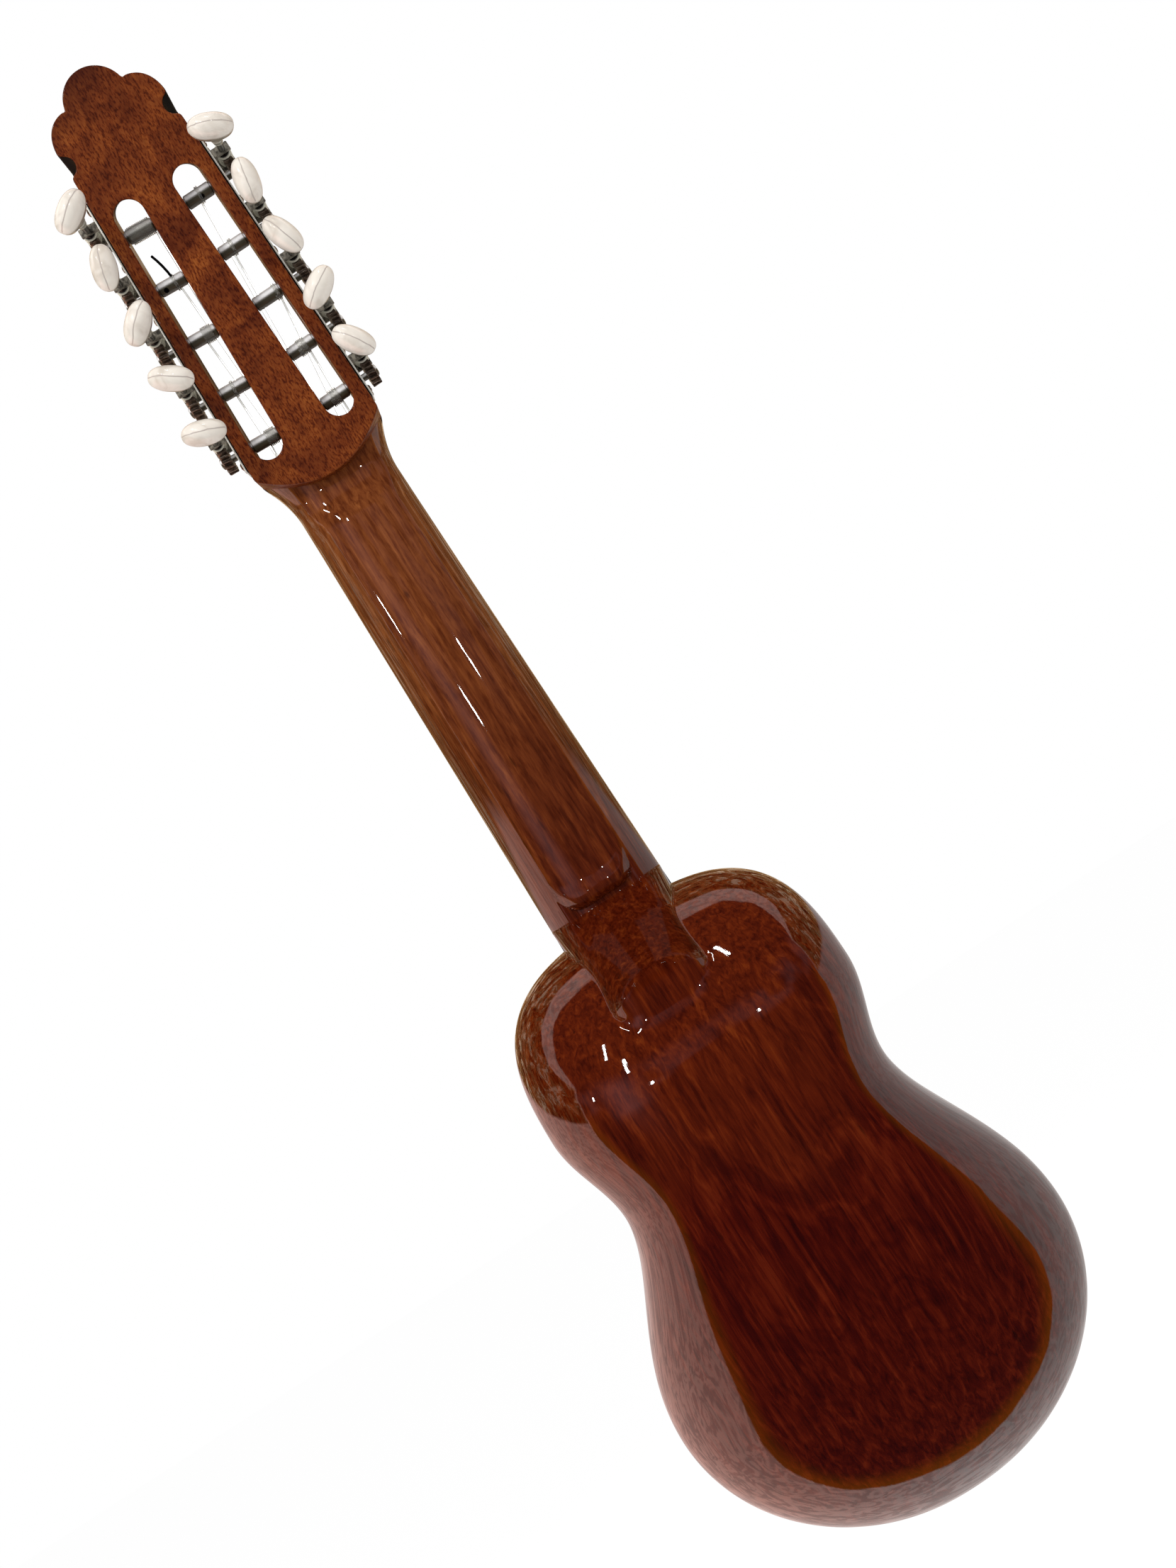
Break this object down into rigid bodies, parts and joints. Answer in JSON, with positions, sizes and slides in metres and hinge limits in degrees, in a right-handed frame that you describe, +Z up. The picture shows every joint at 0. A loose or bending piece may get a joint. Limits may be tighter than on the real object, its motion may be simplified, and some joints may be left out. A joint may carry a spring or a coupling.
{
  "type": "charango",
  "caption": "Small carved-back lute with a slotted head, worm-geared tuners, a soundboard with a round hole, a fretted fingerboard and paired strings.",
  "frame": {"origin": "middle of the neck's flat front at the nut's lower edge, where the yoke of a wall hanger closes round the neck under the head", "axes": "+Z up the neck to the crown of the head, -Y out of the strings' side, +Y out of the carved back, +X to the right seen from the strings' side, which is the left seen from the back"},
  "size_m": [0.1732, 0.0745, 0.6391],
  "materials": {
    "body_lacquer": "deep red-brown hardwood under thick gloss lacquer",
    "neck_lacquer": "mid brown hardwood under gloss lacquer, satin on the head",
    "spruce": "pale fine-grained softwood under thin lacquer",
    "ebony": "near-black oiled hardwood",
    "rosewood": "dark brown oiled hardwood",
    "bone": "polished bone",
    "nickel": "polished nickel plate",
    "dark_nickel": "dulled nickel on steel",
    "pearl": "veined pearl-coloured plastic",
    "nylon": "clear nylon string"
  },
  "bodies": {
    "instrument": {"bowl": "body_lacquer", "neck_with_head": "neck_lacquer", "soundboard": "spruce", "fingerboard": "ebony", "nut": "bone", "bridge": "rosewood", "saddle": "bone", "head_plate": "ebony", "tuner_plate_left": "nickel", "tuner_plate_right": "nickel", "string_left_1": "nylon", "string_left_2": "nylon", "string_left_3": "nylon", "string_left_4": "nylon", "string_left_5": "nylon", "string_right_1": "nylon", "string_right_2": "nylon", "string_right_3": "nylon", "string_right_4": "nylon", "string_right_5": "nylon"},
    "key_left_1": {"worm_shaft_left_1": "dark_nickel", "button_left_1": "pearl"},
    "winder_left_1": {"roller_left_1": "nickel", "gear_left_1": "dark_nickel"},
    "key_left_2": {"worm_shaft_left_2": "dark_nickel", "button_left_2": "pearl"},
    "winder_left_2": {"roller_left_2": "nickel", "gear_left_2": "dark_nickel"},
    "key_left_3": {"worm_shaft_left_3": "dark_nickel", "button_left_3": "pearl"},
    "winder_left_3": {"roller_left_3": "nickel", "gear_left_3": "dark_nickel"},
    "key_left_4": {"worm_shaft_left_4": "dark_nickel", "button_left_4": "pearl"},
    "winder_left_4": {"roller_left_4": "nickel", "gear_left_4": "dark_nickel"},
    "key_left_5": {"worm_shaft_left_5": "dark_nickel", "button_left_5": "pearl"},
    "winder_left_5": {"roller_left_5": "nickel", "gear_left_5": "dark_nickel"},
    "key_right_1": {"worm_shaft_right_1": "dark_nickel", "button_right_1": "pearl"},
    "winder_right_1": {"roller_right_1": "nickel", "gear_right_1": "dark_nickel"},
    "key_right_2": {"worm_shaft_right_2": "dark_nickel", "button_right_2": "pearl"},
    "winder_right_2": {"roller_right_2": "nickel", "gear_right_2": "dark_nickel"},
    "key_right_3": {"worm_shaft_right_3": "dark_nickel", "button_right_3": "pearl"},
    "winder_right_3": {"roller_right_3": "nickel", "gear_right_3": "dark_nickel"},
    "key_right_4": {"worm_shaft_right_4": "dark_nickel", "button_right_4": "pearl"},
    "winder_right_4": {"roller_right_4": "nickel", "gear_right_4": "dark_nickel"},
    "key_right_5": {"worm_shaft_right_5": "dark_nickel", "button_right_5": "pearl"},
    "winder_right_5": {"roller_right_5": "nickel", "gear_right_5": "dark_nickel"}
  },
  "joints": [
    {"name": "key_turn_left_1", "type": "hinge", "parent": "instrument", "child": "key_left_1", "pos_m": [0.03082, 0.03198, 0.13379], "axis": [0, 0.9825, -0.1865], "continuous": true},
    {"name": "winder_turn_left_1", "type": "hinge", "parent": "instrument", "child": "winder_left_1", "pos_m": [0.03105, 0.03061, 0.12662], "axis": [0.9995, 0.006, 0.0318], "continuous": true},
    {"name": "key_turn_left_2", "type": "hinge", "parent": "instrument", "child": "key_left_2", "pos_m": [0.03157, 0.02763, 0.1109], "axis": [0, 0.9825, -0.1865], "continuous": true},
    {"name": "winder_turn_left_2", "type": "hinge", "parent": "instrument", "child": "winder_left_2", "pos_m": [0.03181, 0.02627, 0.10373], "axis": [0.9995, 0.006, 0.0318], "continuous": true},
    {"name": "key_turn_left_3", "type": "hinge", "parent": "instrument", "child": "key_left_3", "pos_m": [0.03232, 0.02328, 0.088], "axis": [0, 0.9825, -0.1865], "continuous": true},
    {"name": "winder_turn_left_3", "type": "hinge", "parent": "instrument", "child": "winder_left_3", "pos_m": [0.03256, 0.02192, 0.08084], "axis": [0.9995, 0.006, 0.0318], "continuous": true},
    {"name": "key_turn_left_4", "type": "hinge", "parent": "instrument", "child": "key_left_4", "pos_m": [0.03308, 0.01894, 0.06511], "axis": [0, 0.9825, -0.1865], "continuous": true},
    {"name": "winder_turn_left_4", "type": "hinge", "parent": "instrument", "child": "winder_left_4", "pos_m": [0.03331, 0.01758, 0.05795], "axis": [0.9995, 0.006, 0.0318], "continuous": true},
    {"name": "key_turn_left_5", "type": "hinge", "parent": "instrument", "child": "key_left_5", "pos_m": [0.03383, 0.01459, 0.04222], "axis": [0, 0.9825, -0.1865], "continuous": true},
    {"name": "winder_turn_left_5", "type": "hinge", "parent": "instrument", "child": "winder_left_5", "pos_m": [0.03407, 0.01323, 0.03505], "axis": [0.9995, 0.006, 0.0318], "continuous": true},
    {"name": "key_turn_right_1", "type": "hinge", "parent": "instrument", "child": "key_right_1", "pos_m": [-0.03082, 0.03198, 0.13379], "axis": [0, 0.9825, -0.1865], "continuous": true},
    {"name": "winder_turn_right_1", "type": "hinge", "parent": "instrument", "child": "winder_right_1", "pos_m": [-0.03105, 0.03061, 0.12662], "axis": [0.9995, -0.006, -0.0318], "continuous": true},
    {"name": "key_turn_right_2", "type": "hinge", "parent": "instrument", "child": "key_right_2", "pos_m": [-0.03157, 0.02763, 0.1109], "axis": [0, 0.9825, -0.1865], "continuous": true},
    {"name": "winder_turn_right_2", "type": "hinge", "parent": "instrument", "child": "winder_right_2", "pos_m": [-0.03181, 0.02627, 0.10373], "axis": [0.9995, -0.006, -0.0318], "continuous": true},
    {"name": "key_turn_right_3", "type": "hinge", "parent": "instrument", "child": "key_right_3", "pos_m": [-0.03232, 0.02328, 0.088], "axis": [0, 0.9825, -0.1865], "continuous": true},
    {"name": "winder_turn_right_3", "type": "hinge", "parent": "instrument", "child": "winder_right_3", "pos_m": [-0.03256, 0.02192, 0.08084], "axis": [0.9995, -0.006, -0.0318], "continuous": true},
    {"name": "key_turn_right_4", "type": "hinge", "parent": "instrument", "child": "key_right_4", "pos_m": [-0.03308, 0.01894, 0.06511], "axis": [0, 0.9825, -0.1865], "continuous": true},
    {"name": "winder_turn_right_4", "type": "hinge", "parent": "instrument", "child": "winder_right_4", "pos_m": [-0.03331, 0.01758, 0.05795], "axis": [0.9995, -0.006, -0.0318], "continuous": true},
    {"name": "key_turn_right_5", "type": "hinge", "parent": "instrument", "child": "key_right_5", "pos_m": [-0.03383, 0.01459, 0.04222], "axis": [0, 0.9825, -0.1865], "continuous": true},
    {"name": "winder_turn_right_5", "type": "hinge", "parent": "instrument", "child": "winder_right_5", "pos_m": [-0.03407, 0.01323, 0.03505], "axis": [0.9995, -0.006, -0.0318], "continuous": true}
  ],
  "couplings": [
    {"joint": "winder_turn_left_1", "follows": "key_turn_left_1", "ratio": 0.071429},
    {"joint": "winder_turn_left_2", "follows": "key_turn_left_2", "ratio": 0.071429},
    {"joint": "winder_turn_left_3", "follows": "key_turn_left_3", "ratio": 0.071429},
    {"joint": "winder_turn_left_4", "follows": "key_turn_left_4", "ratio": 0.071429},
    {"joint": "winder_turn_left_5", "follows": "key_turn_left_5", "ratio": 0.071429},
    {"joint": "winder_turn_right_1", "follows": "key_turn_right_1", "ratio": 0.071429},
    {"joint": "winder_turn_right_2", "follows": "key_turn_right_2", "ratio": 0.071429},
    {"joint": "winder_turn_right_3", "follows": "key_turn_right_3", "ratio": 0.071429},
    {"joint": "winder_turn_right_4", "follows": "key_turn_right_4", "ratio": 0.071429},
    {"joint": "winder_turn_right_5", "follows": "key_turn_right_5", "ratio": 0.071429}
  ]
}
